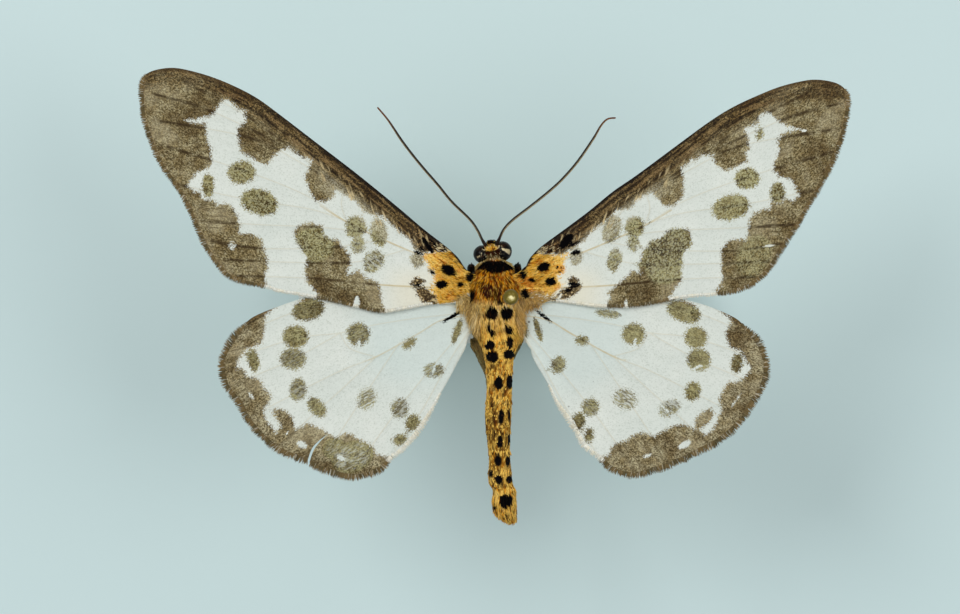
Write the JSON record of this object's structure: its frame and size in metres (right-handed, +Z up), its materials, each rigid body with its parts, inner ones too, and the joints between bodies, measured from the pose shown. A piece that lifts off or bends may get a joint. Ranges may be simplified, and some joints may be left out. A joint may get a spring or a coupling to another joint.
{
  "type": "pinned spread percnia moth specimen",
  "caption": "Still moth spread on a pin above a small bar base, with pale brown-spotted wings, a spotted orange body, thread-like feelers and legs folded under.",
  "frame": {"origin": "a point on the underside of the stand's base, straight below the middle of the thorax", "axes": "+X towards the moth's right wing tip, +Y towards its head, +Z up out of its back"},
  "size_m": [0.0601, 0.0385, 0.039],
  "materials": {
    "wing": "matte scales, white with grey-brown spots and bands",
    "body_fur": "flat scales and fur, orange-brown with black spots",
    "dark_fur": "short black fur",
    "eye": "glossy black",
    "antenna": "dark horn with pale scales on one side",
    "leg": "scaled, brown with pale bands",
    "pin_wire": "dark lacquered steel",
    "pin_ball": "glossy olive-gold",
    "base": "matte white"
  },
  "bodies": {
    "root": {"stand_base": "base", "pin_shank": "pin_wire", "pin_head": "pin_ball", "thorax": "body_fur", "collar": "dark_fur", "head": "body_fur", "eye_left": "eye", "eye_right": "eye", "palp_left": "dark_fur", "palp_right": "dark_fur", "antenna_left": "antenna", "antenna_right": "antenna", "abdomen": "body_fur", "tail_tuft": "body_fur", "forewing_left": "wing", "forewing_right": "wing", "hindwing_left": "wing", "hindwing_right": "wing", "leg_front_left": "leg", "leg_front_right": "leg", "leg_middle_left": "leg", "leg_middle_right": "leg", "leg_hind_left": "leg", "leg_hind_right": "leg"}
  },
  "joints": []
}
